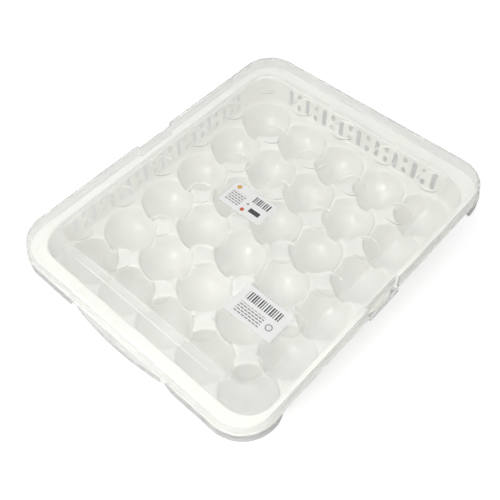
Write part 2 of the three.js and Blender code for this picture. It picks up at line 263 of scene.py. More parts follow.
class GeometryGraph(Graph):
    """A Geometry Nodes tree with named inputs, run once on an object."""

    def __init__(self, name: str) -> None:
        """Start a tree with a geometry input and output.

        Args:
            name: The tree's name.
        """
        super().__init__(bpy.data.node_groups.new(name, "GeometryNodeTree"))
        for way in ("INPUT", "OUTPUT"):
            self.tree.interface.new_socket("Geometry", in_out=way, socket_type="NodeSocketGeometry")
        self.entry = self.add("NodeGroupInput")
        self.presets: dict[str, Any] = {}

    @property
    def geometry(self) -> bpy.types.NodeSocket:
        """The geometry that comes in."""
        return self.entry.outputs["Geometry"]

    def input(self, name: str, kind: str, value: Any) -> Any:
        """Add a named input.

        Args:
            name: The input's name.
            kind: Float, Int, Object or Material.
            value: What the modifier sets it to.

        Returns:
            A Value for a number, or else the socket.
        """
        item = self.tree.interface.new_socket(name, in_out="INPUT", socket_type=f"NodeSocket{kind}")
        self.presets[item.identifier] = value
        socket = self.entry.outputs[name]
        return Value(self, socket) if kind in ("Float", "Int") else socket

    def solid(self, source: bpy.types.NodeSocket) -> bpy.types.NodeSocket:
        """Give the geometry of an object that comes in as an input."""
        return self.add("GeometryNodeObjectInfo", inputs={"Object": source}).outputs["Geometry"]

    def vector(self, x: Any = 0.0, y: Any = 0.0, z: Any = 0.0) -> bpy.types.NodeSocket:
        """Join three numbers into a vector."""
        return self.add("ShaderNodeCombineXYZ", inputs={0: x, 1: y, 2: z}).outputs[0]

    def scatter(
        self, points: Any, solid: Any, selection: Any = None, turn: Any = None
    ) -> bpy.types.NodeSocket:
        """Put a copy of a solid at points.

        Args:
            points: The points.
            solid: The geometry that is copied.
            selection: Which points take a copy, or None for all.
            turn: The copy's turn about Z, in radians, or None.

        Returns:
            The copies, as instances.
        """
        inputs = {"Points": points, "Instance": solid}
        if selection is not None:
            inputs["Selection"] = selection
        if turn is not None:
            angles = self.vector(z=turn)
            inputs["Rotation"] = self.add("FunctionNodeEulerToRotation", inputs={0: angles}).outputs[0]
        return self.add("GeometryNodeInstanceOnPoints", inputs=inputs).outputs[0]

    def moved(self, geometry: Any, shift: Any, turn: float = 0.0) -> bpy.types.NodeSocket:
        """Turn a geometry about Z and then shift it."""
        inputs = {"Geometry": geometry, "Translation": shift, "Rotation": (0.0, 0.0, turn)}
        return self.add("GeometryNodeTransform", inputs=inputs).outputs[0]

    def realized(self, geometries: list) -> bpy.types.NodeSocket:
        """Join geometries into one plain mesh."""
        joined = self.add("GeometryNodeJoinGeometry", inputs={0: geometries}).outputs[0]
        return self.add("GeometryNodeRealizeInstances", inputs={0: joined}).outputs[0]

    def welded(self, geometries: list) -> bpy.types.NodeSocket:
        """Join geometries and merge the points that meet."""
        inputs = {"Geometry": self.realized(geometries), "Distance": WELD * MILLIMETRE}
        return self.add("GeometryNodeMergeByDistance", inputs=inputs).outputs[0]

    def combined(self, operation: str, first: Any, second: Any) -> bpy.types.NodeSocket:
        """Join or cut closed solids.

        Args:
            operation: UNION or DIFFERENCE.
            first: The first solid.
            second: The solid that is joined to it or cut from it.

        Returns:
            The new solid.
        """
        settings = {"operation": operation, "solver": "MANIFOLD"}
        names = {"Mesh 2": [first, second]} if operation == "UNION" else {"Mesh 1": first, "Mesh 2": second}
        return self.add("GeometryNodeMeshBoolean", settings, names).outputs[0]

    def close(self, geometry: Any, material: bpy.types.Material) -> None:
        """End the tree with smooth shading, Realize Instances and Set Material.

        Args:
            geometry: The finished geometry.
            material: What it is dressed in.
        """
        smooth = self.add("GeometryNodeSetShadeSmooth", inputs={"Geometry": geometry}).outputs[0]
        plain = self.add("GeometryNodeRealizeInstances", inputs={0: smooth}).outputs[0]
        finish = self.input("Material", "Material", material)
        dressed = self.add("GeometryNodeSetMaterial", inputs={"Geometry": plain, "Material": finish})
        self.add("NodeGroupOutput", inputs={0: dressed.outputs[0]})

    def run(self, host: bpy.types.Object, sharp: float) -> None:
        """Turn an object into the tree's result, as a plain mesh.

        Args:
            host: The object whose mesh goes in, and which takes the result.
            sharp: Edges that bend more than this many degrees stay sharp.
        """
        modifier = host.modifiers.new(self.tree.name, "NODES")
        modifier.node_group = self.tree
        for identifier, value in self.presets.items():
            modifier[identifier] = value
        scene = bpy.context.evaluated_depsgraph_get()
        mesh = bpy.data.meshes.new_from_object(host.evaluated_get(scene))
        host.modifiers.remove(modifier)
        host.data = mesh
        mesh.name = host.name
        mesh.set_sharp_from_angle(angle=math.radians(sharp))


def unit_arrows(angles: Any) -> np.ndarray:
    """Give the arrow of length 1 at each angle, one row each."""
    return np.stack([np.cos(angles), np.sin(angles)], axis=-1)


@dataclass(frozen=True)
class RoundedBox:
    """A rounded rectangle round the origin, whose points are named by stations.

    A station is a number from 0 to 8. An even whole number starts a straight side, from the +X side
    counterclockwise, an odd one starts the corner after it, and the fraction says how far along.
    """

    x: float
    y: float
    radius: float

    @property
    def reach(self) -> np.ndarray:
        """The half lengths of the straight sides."""
        return np.array([self.x - self.radius, self.y - self.radius])

    def grown(self, by: float) -> RoundedBox:
        """Give the outline moved outwards."""
        return RoundedBox(self.x + by, self.y + by, self.radius + by)

    def at(self, stations: np.ndarray, outset: Any = 0.0) -> np.ndarray:
        """Find the points at stations.

        Args:
            stations: The stations.
            outset: How far outwards of the outline each point lies.

        Returns:
            The points, one row each.
        """
        side = stations.astype(int) % 8
        share = (stations - stations.astype(int))[:, None]
        quarter = side // 2
        corner = side % 2 == 1
        outwards = unit_arrows((quarter + np.where(corner, share[:, 0], 0.0)) * QUARTER_TURN)
        start = CORNER_SIGNS[(quarter + 3) % 4]
        end = CORNER_SIGNS[quarter]
        middle = np.where(corner[:, None], end, start + (end - start) * share) * self.reach
        return middle + outwards * (self.radius + np.broadcast_to(outset, len(stations)))[:, None]

    def station(self, x: float, y: float) -> float:
        """Find the station of a point on the outline.

        Args:
            x: The point's place along X.
            y: The point's place along Y.

        Returns:
            The station.
        """
        reach_x, reach_y = self.reach
        if abs(x) > reach_x and abs(y) > reach_y:
            quarter = int(np.argmax(CORNER_SIGNS @ (np.sign(x), np.sign(y))))
            sign_x, sign_y = CORNER_SIGNS[quarter]
            angle = math.atan2(y - sign_y * reach_y, x - sign_x * reach_x) % FULL_TURN
            return 2 * quarter + 1 + angle / QUARTER_TURN - quarter
        if abs(x) > reach_x:
            return (1 + y / reach_y) / 2 if x > 0 else 4 + (1 - y / reach_y) / 2
        return 2 + (1 - x / reach_x) / 2 if y > 0 else 6 + (1 + x / reach_x) / 2


LID_PANEL = RoundedBox(132.0, 107.5, 13.0)


class Skin:
    """A mesh in the making, in millimetres, that grows ring by ring."""

    SAME_SPOT = 1e-5

    def __init__(self) -> None:
        """Start without points or faces."""
        self.points: list[tuple[float, float, float]] = []
        self.faces: list[tuple[int, ...]] = []

    def ring(self, plan: np.ndarray, height: Any) -> list[int]:
        """Add a ring of points.

        Args:
            plan: The points seen from above.
            height: Their height, one for all or one each.

        Returns:
            The numbers of the new points.
        """
        first = len(self.points)
        for (x, y), z in zip(plan, np.broadcast_to(height, len(plan))):
            self.points.append((float(x), float(y), float(z)))
        return list(range(first, len(self.points)))

    def bridge(self, inner: list[int], outer: list[int], flip: bool = False) -> None:
        """Join two closed rings of as many points by quads.

        Args:
            inner: The inner ring, counterclockwise.
            outer: The outer ring.
            flip: Whether the quads face downwards.
        """
        count = len(inner)
        for here in range(count):
            after = (here + 1) % count
            quad = (inner[here], outer[here], outer[after], inner[after])
            self.faces.append(quad[::-1] if flip else quad)

    def fan(self, centre: int, ring: list[int], flip: bool = False) -> None:
        """Join a point to the closed ring round it by triangles.

        Args:
            centre: The point's number.
            ring: The ring, counterclockwise.
            flip: Whether the triangles face downwards.
        """
        count = len(ring)
        for here in range(count):
            face = (centre, ring[here], ring[(here + 1) % count])
            self.faces.append(face[::-1] if flip else face)

    def loft(self, rings: list[list[int]], flip: bool = False) -> None:
        """Join rings in order, from the inside out."""
        for inner, outer in zip(rings, rings[1:]):
            self.bridge(inner, outer, flip)

    def disc(self, centre: int, rings: list[list[int]], flip: bool = False) -> None:
        """Join a point to the rings round it, from the inside out."""
        self.fan(centre, rings[0], flip)
        self.loft(rings, flip)

    def sheet_with_holes(self, border: list[int], holes: list[list[int]], flip: bool = False) -> None:
        """Fill a flat outline round its holes with triangles.

        Args:
            border: The ring of the outline.
            holes: The rings of the holes.
            flip: Whether the triangles face downwards.
        """
        numbers = [*border, *(number for hole in holes for number in hole)]
        plan = [Vector(self.points[number][:2]) for number in numbers]
        owners = []
        edges = []
        for owner, loop in enumerate((border, *holes)):
            first = len(owners)
            edges += [(first + step, first + (step + 1) % len(loop)) for step in range(len(loop))]
            owners += [owner] * len(loop)
        _, _, triangles, origins, _, _ = delaunay_2d_cdt(plan, edges, [], 1, self.SAME_SPOT)
        for triangle in triangles:
            corners = [origins[corner][0] for corner in triangle]
            around = {owners[corner] for corner in corners}
            if len(around) > 1 or 0 in around:
                face = tuple(numbers[corner] for corner in corners)
                self.faces.append(face[::-1] if flip else face)

    def build(self, name: str) -> bpy.types.Object:
        """Make the mesh object, in metres.

        Args:
            name: The object's name.

        Returns:
            The object, in the scene.
        """
        mesh = bpy.data.meshes.new(name)
        mesh.from_pydata([tuple(c * MILLIMETRE for c in point) for point in self.points], [], self.faces)
        mesh.update()
        thing = bpy.data.objects.new(name, mesh)
        bpy.context.scene.collection.objects.link(thing)
        return thing


def prism(outline: list[tuple[float, float]], low: float, high: float) -> Skin:
    """Extrude an outline upwards.

    Args:
        outline: The corners, counterclockwise seen from above.
        low: The bottom's height.
        high: The top's height.

    Returns:
        The closed solid.
    """
    skin = Skin()
    plan = np.array(outline)
    bottom = skin.ring(plan, low)
    top = skin.ring(plan, high)
    skin.bridge(top, bottom)
    skin.faces.append(tuple(top))
    skin.faces.append(tuple(reversed(bottom)))
    return skin


def arc(radius: float, steps: int) -> list[tuple[float, float]]:
    """Give the sine and the versed sine along a quarter of a circle, without its start."""
    angles = [QUARTER_TURN * (step + 1) / steps for step in range(steps)]
    return [(radius * math.sin(angle), radius * (1 - math.cos(angle))) for angle in angles]


def ease(value: Any, low: float, high: float) -> Any:
    """Rise smoothly from 0 at low to 1 at high."""
    share = np.clip((np.asarray(value, float) - low) / (high - low), 0, 1)
    return share * share * (3 - 2 * share)


def discard(things: list[bpy.types.Object]) -> None:
    """Remove objects that only served a node tree."""
    for thing in things:
        bpy.data.objects.remove(thing)


class CellKind(Enum):
    """Where a cup lies in the grid. The values say whether its deck runs on towards +X and +Y."""

    INNER = (False, False)
    EDGE = (True, False)
    CORNER = (True, True)


@dataclass(frozen=True)
class MouldedWhite:
    """White, slightly translucent plastic with a satin face. Broad flow marks and a fine grain vary it."""

    colour: Colour = (0.8, 0.797, 0.752, 1.0)
    shade: Colour = (0.78, 0.777, 0.732, 1.0)
    gloss: float = 0.15
    flow_size: float = 38.0
    flow_gloss: float = 0.04
    grain_size: float = 0.9
    grain_gloss: float = 0.02
    grain_depth: float = 0.004
    grain_strength: float = 0.2
    noise_detail: float = 3.0
    refraction: float = 1.49
    shine: float = 1.0
    translucency: float = 0.5
    glow_reach: float = 4.0
    glow_colours: tuple[float, float, float] = (1.0, 1.0, 0.9)

    def material(self) -> bpy.types.Material:
        """Make the material.

        Returns:
            The material.
        """
        shader = Shader("moulded_white")
        flow = shader.noise(self.flow_size, self.noise_detail)
        grain = shader.noise(self.grain_size, self.noise_detail)
        inputs = {
            "Base Color": shader.blend(flow, self.colour, self.shade),
            "Roughness": self.gloss + self.flow_gloss * flow + self.grain_gloss * grain,
            "IOR": self.refraction,
            "Specular IOR Level": self.shine,
            "Subsurface Weight": self.translucency,
            "Subsurface Radius": self.glow_colours,
            "Subsurface Scale": self.glow_reach * MILLIMETRE,
            "Normal": shader.bump(grain, self.grain_depth, self.grain_strength),
        }
        return shader.finish(shader.add("ShaderNodeBsdfPrincipled", inputs=inputs))


@dataclass(frozen=True)
class ClearPlastic:
    """Clear plastic with a faint haze, milkier outside the lid's panel. Lamps shine through it."""

    tint: Colour = (0.98, 0.983, 0.968, 1.0)
    shadow_tint: Colour = (0.99, 0.99, 0.985, 1.0)
    haze: float = 0.18
    frost: float = 0.09
    panel: RoundedBox = LID_PANEL
    gloss: float = 0.03
    refraction: float = 1.49
    wave_size: float = 24.0
    wave_gloss: float = 0.03
    wave_depth: float = 0.05
    wave_strength: float = 0.15

    def material(self) -> bpy.types.Material:
        """Make the material.

        Returns:
            The material.
        """
        shader = Shader("clear_plastic")
        wave = shader.noise(self.wave_size)
        inputs = {
            "Base Color": self.tint,
            "Roughness": self.gloss + self.wave_gloss * wave,
            "IOR": self.refraction,
            "Transmission Weight": 1 - self.haze,
            "Normal": shader.bump(wave, self.wave_depth, self.wave_strength),
        }
        clear = shader.add("ShaderNodeBsdfPrincipled", inputs=inputs)
        milk = shader.add("ShaderNodeBsdfDiffuse", inputs={"Color": self.tint})
        body = shader.mixed(self.frost * self._outside_panel(shader), clear, milk)
        ray = Value(shader, shader.add("ShaderNodeLightPath").outputs["Is Shadow Ray"])
        open_air = shader.add("ShaderNodeBsdfTransparent", inputs={"Color": self.shadow_tint})
        return shader.finish(shader.mixed(ray, body, open_air))

    def _outside_panel(self, shader: Shader) -> Value:
        """Give 1 outside the lid's panel, seen from above.

        Args:
            shader: The material's tree.

        Returns:
            The mask.
        """
        x, y, _ = shader.axes(shader.place())
        reach_x, reach_y = self.panel.reach * MILLIMETRE
        over_x = abs(x) - reach_x
        over_y = abs(y) - reach_y
        past_x = over_x * (over_x > 0)
        past_y = over_y * (over_y > 0)
        return (past_x * past_x + past_y * past_y) > (self.panel.radius * MILLIMETRE) ** 2


@dataclass
class CupGrid:
    """The egg cups and the deck between them, as three kinds of cell that a node tree sets out."""

    pitch: float = 47.0
    columns: int = 6
    rows: int = 5
    deck: float = 28.5
    radius: float = 24.25
    depth: float = 27.2
    lip: float = 1.8
    crest: float = 1.2
    wall: float = 1.5
    foot: float = 7.0
    reach: float = 26.5
    corner: float = 22.0
    under_gap: float = 2.0
    fan: int = 48
    top_rings: int = 16
    low_rings: int = 9
    profile_points: int = 160
    lip_step: int = 8
    crest_points: int = 24
    bend_weight: float = 7.0

    @property
    def half(self) -> float:
        """Half the pitch."""
        return self.pitch / 2

    def even_fan(self) -> np.ndarray:
        """Give the angles of an even fan of rays."""
        return FULL_TURN * np.arange(self.fan) / self.fan

    def angles(self) -> list[float]:
        """Give a cell's rays: an even fan, and the corners that an edge cell has besides.

        Returns:
            The angles, in order.
        """
        lean = math.atan2(self.half, self.reach)
        found = list(self.even_fan())
        for quarter in range(4):
            found += [(QUARTER_TURN * quarter + turn) % FULL_TURN for turn in (lean, -lean)]
        return sorted(found)

    def spots(self, tree: GeometryGraph) -> tuple[bpy.types.NodeSocket, Value, Value, Value]:
        """Add a point over each cup to a tree, with the inputs that set them out.

        Args:
            tree: The tree.

        Returns:
            The points, the pitch, and the width and depth of the grid.
        """
        pitch = tree.input("Cup Pitch", "Float", self.pitch * MILLIMETRE)
        columns = tree.input("Cup Columns", "Int", self.columns)
        rows = tree.input("Cup Rows", "Int", self.rows)
        width = pitch * (columns - 1)
        depth = pitch * (rows - 1)
        inputs = {"Size X": width, "Size Y": depth, "Vertices X": columns, "Vertices Y": rows}
        points = tree.add("GeometryNodeMeshGrid", inputs=inputs).outputs["Mesh"]
        return points, pitch, width, depth

    def border(self, angle: float, kind: CellKind) -> float:
        """Find how far a ray runs to the cell's border.

        Args:
            angle: The ray's angle.
            kind: The kind of cell.

        Returns:
            The distance from the cup's centre.
        """
        ray = unit_arrows(angle)
        distances = []
        for open_side, part in zip(kind.value, ray):
            if abs(part) > TINY:
                distances.append((self.reach if open_side and part > 0 else self.half) / abs(part))
        distance = min(distances)
        inset = self.reach - self.corner
        if kind is CellKind.CORNER and min(ray * distance) > inset:
            along = inset * ray.sum()
            distance = along + math.sqrt(along**2 - 2 * inset**2 + self.corner**2)
        return distance

    def top_profile(self) -> np.ndarray:
        """Give the cup's inside, from its middle out over the deck.

        Returns:
            Rows of radius and height.
        """
        angles = np.linspace(0, QUARTER_TURN, self.profile_points)
        brim = self.deck - self.lip
        fall = (self.depth - self.lip) * np.cos(angles)
        bowl = np.stack([self.radius * np.sin(angles), brim - fall], axis=1)
        bend = angles[self.lip_step :: self.lip_step]
        lip = np.stack([self.radius + self.lip * (1 - np.cos(bend)), brim + self.lip * np.sin(bend)], axis=1)
        return np.vstack([bowl, lip, [[2 * self.pitch, self.deck]]])

    def low_profile(self) -> np.ndarray:
        """Give the cup's underside, from its flat foot up and out under the deck.

        Returns:
            Rows of radius and height.
        """
        radius = self.radius + self.under_gap
        first = math.asin(self.foot / radius)
        height = self.deck / math.cos(first)
        last = math.acos(self.wall / height)
        angles = np.linspace(first, last, self.profile_points)
        bowl = np.stack([radius * np.sin(angles), self.deck - height * np.cos(angles)], axis=1)
        return np.vstack([[[0, 0]], bowl, [[2 * self.pitch, self.deck - self.wall]]])

    def heights(self, profile: np.ndarray, radii: np.ndarray, angle: float, kind: CellKind) -> np.ndarray:
        """Find heights along a ray, with the crest between two cups rounded off.

        Args:
            profile: Rows of radius and height.
            radii: The distances along the ray.
            angle: The ray's angle.
            kind: The kind of cell.

        Returns:
            The heights.
        """
        place = radii[:, None] * unit_arrows(angle)
        for axis in (0, 1):
            shared = np.ones(len(radii), bool) if not kind.value[axis] else place[:, axis] < 0
            gap = self.half - np.abs(place[:, axis])
            near = shared & (gap < self.crest)
            eased = (gap**2 + self.crest**2) / (2 * self.crest)
            place[near, axis] = np.sign(place[near, axis]) * (self.half - eased[near])
        return np.interp(np.hypot(place[:, 0], place[:, 1]), profile[:, 0], profile[:, 1])

    def ray(self, profile: np.ndarray, angle: float, kind: CellKind, rings: int) -> np.ndarray:
        """Space points along a ray by its length and its bends.

        Args:
            profile: Rows of radius and height.
            angle: The ray's angle.
            kind: The kind of cell.
            rings: How many points it gets beyond the middle.

        Returns:
            Rows of radius and height.
        """
        end = self.border(angle, kind)
        inside = profile[profile[:, 0] < end, 0]
        near_end = np.linspace(end - 2 * self.crest, end, self.crest_points)
        radii = np.unique(np.concatenate([inside, near_end]))
        heights = self.heights(profile, radii, angle, kind)
        steps = np.stack([np.diff(radii), np.diff(heights)], axis=1)
        slopes = np.arctan2(steps[:, 1], steps[:, 0])
        bends = np.abs(np.diff(slopes, prepend=slopes[0]))
        lengths = np.hypot(steps[:, 0], steps[:, 1]) + self.bend_weight * bends
        measure = np.concatenate([[0], np.cumsum(lengths)])
        chosen = np.interp(np.linspace(0, measure[-1], rings + 1)[1:], measure, radii)
        chosen[-1] = end
        return np.stack([chosen, self.heights(profile, chosen, angle, kind)], axis=1)

    def cell(self, kind: CellKind) -> Skin:
        """Make a cell: the top and the underside of one cup with its share of the deck.

        Args:
            kind: The kind of cell.

        Returns:
            The two sheets, open at the cell's border.
        """
        skin = Skin()
        angles = self.angles()
        arrows = unit_arrows(angles)
        sides = ((self.top_profile(), self.top_rings, False), (self.low_profile(), self.low_rings, True))
        for profile, count, flip in sides:
            rays = np.array([self.ray(profile, angle, kind, count) for angle in angles])
            middle = skin.ring(np.zeros((1, 2)), profile[0, 1])[0]
            rings = [skin.ring(arrows * rays[:, [k], 0], rays[:, k, 1]) for k in range(count)]
            skin.disc(middle, rings, flip)
        return skin

    def outline_stations(self, outline: RoundedBox) -> np.ndarray:
        """Find where the rays of the outer cells meet the foot of the walls.

        Args:
            outline: The foot of the walls.

        Returns:
            The stations, in order.
        """
        last_x = (self.columns - 1) * self.half
        last_y = (self.rows - 1) * self.half
        found = []
        for x in np.linspace(-last_x, last_x, self.columns):
            for y in np.linspace(-last_y, last_y, self.rows):
                outward_x = np.sign(x) * (abs(x) > last_x - TINY)
                outward_y = np.sign(y) * (abs(y) > last_y - TINY)
                found += self._hits(outline, (x, y), (outward_x, outward_y))
        return np.unique(np.round(found, 6))

    def _hits(self, outline: RoundedBox, centre: tuple, outward: tuple) -> list[float]:
        """Give the stations where one outer cell's rays meet the outline.

        Args:
            outline: The foot of the walls.
            centre: The cup's centre.
            outward: The signs of the directions in which the cell is the last, or 0.

        Returns:
            The stations.
        """
        if not any(outward):
            return []
        turn = math.atan2(outward[1], outward[0])
        kind = CellKind.EDGE
        if all(outward):
            turn -= QUARTER_TURN / 2
            kind = CellKind.CORNER
        stations = []
        for angle in self.angles():
            distance = self.border(angle, kind)
            local = unit_arrows(angle) * distance
            on_wall = local[0] > self.reach - TINY
            if kind is CellKind.CORNER:
                on_arc = min(local) > self.reach - self.corner
                on_wall = on_arc or max(local) > self.half + TINY
            if on_wall:
                x, y = centre + unit_arrows(angle + turn) * distance
                stations.append(outline.station(x, y) % 8)
        return stations


@dataclass
class TrayWalls:
    """The side walls, their vent slots and the flange round the top."""

    inner: RoundedBox = RoundedBox(146.0, 122.5, 24.0)
    flange: RoundedBox = RoundedBox(162.1, 132.1, 31.0)
    deck: float = 28.5
    top: float = 58.0
    wall: float = 1.5
    flange_wall: float = 1.6
    foot_round: float = 2.0
    top_round: float = 1.5
    edge_round: float = 0.8
    under_round: float = 1.0
    support: float = 0.3
    slot_spacing: float = 10.7
    slot_width: float = 5.0
    slot_foot: float = 3.0
    long_slot: float = 21.0
    short_slot: float = 7.6
    side_slots: int = 11
    end_slots: int = 9
    lug_length: float = 30.0
    notch_half: float = 18.5
    setback: float = 3.0

    @property
    def foot(self) -> RoundedBox:
        """The outline where the deck turns up into the wall."""
        return self.inner.grown(-self.foot_round)

    def sections(self) -> list[tuple[RoundedBox, float, float]]:
        """Give the wall's section, from the deck up over the flange and down to the underside.

        Returns:
            Outlines, outsets and heights. A support row lies close to each bend and keeps it tight.
        """
        near = self.support
        brim = self.top - self.top_round
        rows = [(self.foot, 0.0, self.deck)]
        rows += [(self.foot, out, self.deck + up) for out, up in arc(self.foot_round, 4)]
        rows += [(self.inner, 0.0, self.deck + self.foot_round + near)]
        rows += [(self.inner, 0.0, brim - near), (self.inner, 0.0, brim)]
        rows += [(self.inner, up, brim + out) for out, up in arc(self.top_round, 4)]
        rows += [(self.inner, self.top_round + near, self.top)]
        edge = self.flange.grown(-self.edge_round)
        low = self.top - self.flange_wall
        rise = low + self.edge_round
        rows += [(edge, -near, self.top), (edge, 0.0, self.top)]
        rows += [(edge, out, self.top - up) for out, up in arc(self.edge_round, 3)]
        rows += [(edge, self.edge_round - up, rise - out) for out, up in arc(self.edge_round, 3)]
        outside = self.inner.grown(self.wall)
        bend = self.under_round
        rows += [(edge, -near, low), (outside, bend + near, low), (outside, bend, low)]
        rows += [(outside, bend - out, low - up) for out, up in arc(bend, 3)]
        bottom = self.deck - self.wall
        rise = bottom + bend
        rows += [(outside, 0.0, low - bend - near), (outside, 0.0, rise + near), (outside, 0.0, rise)]
        rows += [(outside, -up, rise - out) for out, up in arc(bend, 3)]
        rows += [(self.foot, 0.0, bottom)]
        return rows

    def ring(self, stations: np.ndarray) -> Skin:
        """Sweep the section round the box.

        Args:
            stations: Where the deck's outer points lie.

        Returns:
            The walls, open at the deck and at the underside.
        """
        skin = Skin()
        skin.loft([skin.ring(outline.at(stations, out), z) for outline, out, z in self.sections()])
        return skin

    def slot(self, height: float, foot: float) -> Skin:
        """Make the cutter of one slot, upright and through the wall at Y = 0.

        Args:
            height: The slot's height.
            foot: The height of its lower end.

        Returns:
            The cutter.
        """
        half = self.slot_width / 2
        steps = 8
        turns = [math.pi * step / steps for step in range(steps + 1)]
        low = [(-half * math.cos(turn), foot + half - half * math.sin(turn)) for turn in turns]
        high = [(half * math.cos(turn), foot + height - half + half * math.sin(turn)) for turn in turns]
        flat = prism(low + high, -self.wall * 2, self.wall * 2)
        flat.points = [(x, -z, y) for x, y, z in flat.points]
        return flat

    def notch(self) -> Skin:
        """Make the cutter that leaves a crescent lug on the edge of the flange.

        Returns:
            The cutter.
        """
        chord = self.flange.y - self.setback
        beyond = self.flange.y + self.setback
        half = self.lug_length / 2
        steps = 16
        shares = [2 * step / steps - 1 for step in range(steps + 1)]
        crescent = [(half * share, chord + self.setback * (1 - share**2)) for share in shares]
        corners = [(-self.notch_half, chord), *crescent, (self.notch_half, chord)]
        corners += [(self.notch_half, beyond), (-self.notch_half, beyond)]
        return prism(corners, self.top - 2 * self.flange_wall, self.top + self.flange_wall)


@dataclass
class EggTray:
    """The white moulding as one piece: cups, walls, slots and flange."""

    cups: CupGrid = field(default_factory=CupGrid)
    walls: TrayWalls = field(default_factory=TrayWalls)
    finish: MouldedWhite = MouldedWhite()
    sharp: float = 35.0

    def build(self) -> bpy.types.Object:
        """Build the tray with its node tree.

        Returns:
            The tray.
        """
        walls = self.walls
        stations = self.cups.outline_stations(walls.foot)
        host = walls.ring(stations).build("egg_tray")
        cells = [self.cups.cell(kind).build(f"cell_{kind.name.lower()}") for kind in CellKind]
        foot = walls.deck + walls.slot_foot
        upper = foot + walls.long_slot - walls.short_slot
        cutters = [
            walls.slot(walls.long_slot, foot).build("long_slot"),
            walls.slot(walls.short_slot, foot).build("low_slot"),
            walls.slot(walls.short_slot, upper).build("high_slot"),
            walls.notch().build("catch_notch"),
        ]
        tree = self._tree(cells, cutters)
        tree.run(host, self.sharp)
        discard(cells + cutters)
        return host

    def _tree(self, cells: list, cutters: list) -> GeometryGraph:
        """Make the tree that sets out the cups and cuts the slots.

        Args:
            cells: The inner, edge and corner cells.
            cutters: The long, low and high slots, and the catch notch.

        Returns:
            The tree.
        """
        walls = self.walls
        tree = GeometryGraph("egg_tray")
        moulding = tree.welded([tree.geometry, *self._set_out_cups(tree, cells)])
        spacing = tree.input("Slot Spacing", "Float", walls.slot_spacing * MILLIMETRE)
        names = ("Long Slot", "Low Slot", "High Slot", "Catch Notch")
        long_slot, low_slot, high_slot, notch = (
            tree.solid(tree.input(name, "Object", cutter)) for name, cutter in zip(names, cutters))
        middle = walls.inner.grown(walls.wall / 2)
        wall_x = tree.input("End Wall Place", "Float", middle.x * MILLIMETRE)
        wall_y = tree.input("Side Wall Place", "Float", middle.y * MILLIMETRE)
        side_slots = tree.input("Long Slots On A Side", "Int", walls.side_slots)
        end_slots = tree.input("Long Slots On An End", "Int", walls.end_slots)
        side = self._slot_row(tree, spacing, side_slots, long_slot, [low_slot, high_slot])
        end = self._slot_row(tree, spacing, end_slots, long_slot, [low_slot, high_slot])
        cuts = [
            tree.moved(side, tree.vector(y=wall_y)),
            tree.moved(side, tree.vector(y=-1 * wall_y)),
            tree.moved(end, tree.vector(x=wall_x), QUARTER_TURN),
            tree.moved(end, tree.vector(x=-1 * wall_x), QUARTER_TURN),
            notch,
            tree.moved(notch, (0.0, 0.0, 0.0), 2 * QUARTER_TURN),
        ]
        tree.close(tree.combined("DIFFERENCE", moulding, tree.realized(cuts)), self.finish.material())
        return tree

    def _set_out_cups(self, tree: GeometryGraph, cells: list) -> list:
        """Put a cell on each point of the grid, turned so that its open sides face the walls.

        Args:
            tree: The tree.
            cells: The inner, edge and corner cells.

        Returns:
            The copies of each kind of cell.
        """
        points, pitch, width, depth = self.cups.spots(tree)
        x, y, _ = tree.axes(tree.add("GeometryNodeInputPosition").outputs[0])
        last_x = abs(x) > (width - pitch) / 2
        last_y = abs(y) > (depth - pitch) / 2
        outward = (y.sign() * last_y).heading(x.sign() * last_x)
        turn = outward - last_x * last_y * (QUARTER_TURN / 2)
        both = last_x * last_y
        one = last_x + last_y - 2 * both
        none = 1 - one - both
        copies = []
        for kind, cell, chosen in zip(CellKind, cells, (none, one, both)):
            source = tree.input(f"Cell {kind.name.title()}", "Object", cell)
            copies.append(tree.scatter(points, tree.solid(source), chosen, turn))
        return copies

    def _slot_row(
        self, tree: GeometryGraph, spacing: Value, count: Value, long_slot: Any, pair: list
    ) -> bpy.types.NodeSocket:
        """Set out a row of slots: long ones with a pair of short ones between each two.

        Args:
            tree: The tree.
            spacing: The distance from one slot to the next.
            count: The number of long slots.
            long_slot: The long cutter.
            pair: The two short cutters.

        Returns:
            The cutters of the row, along X about the middle.
        """
        total = 2 * count - 1
        start = tree.vector(x=-1 * spacing * (total - 1) / 2)
        inputs = {"Count": total, "Start Location": start, "Offset": tree.vector(x=spacing)}
        line = tree.add("GeometryNodeMeshLine", inputs=inputs).outputs[0]
        odd = Value(tree, tree.add("GeometryNodeInputIndex").outputs[0]) % 2
        long_ones = tree.scatter(line, long_slot, 1 - odd)
        short_ones = [tree.scatter(line, cutter, odd) for cutter in pair]
        return tree.realized([long_ones, *short_ones])


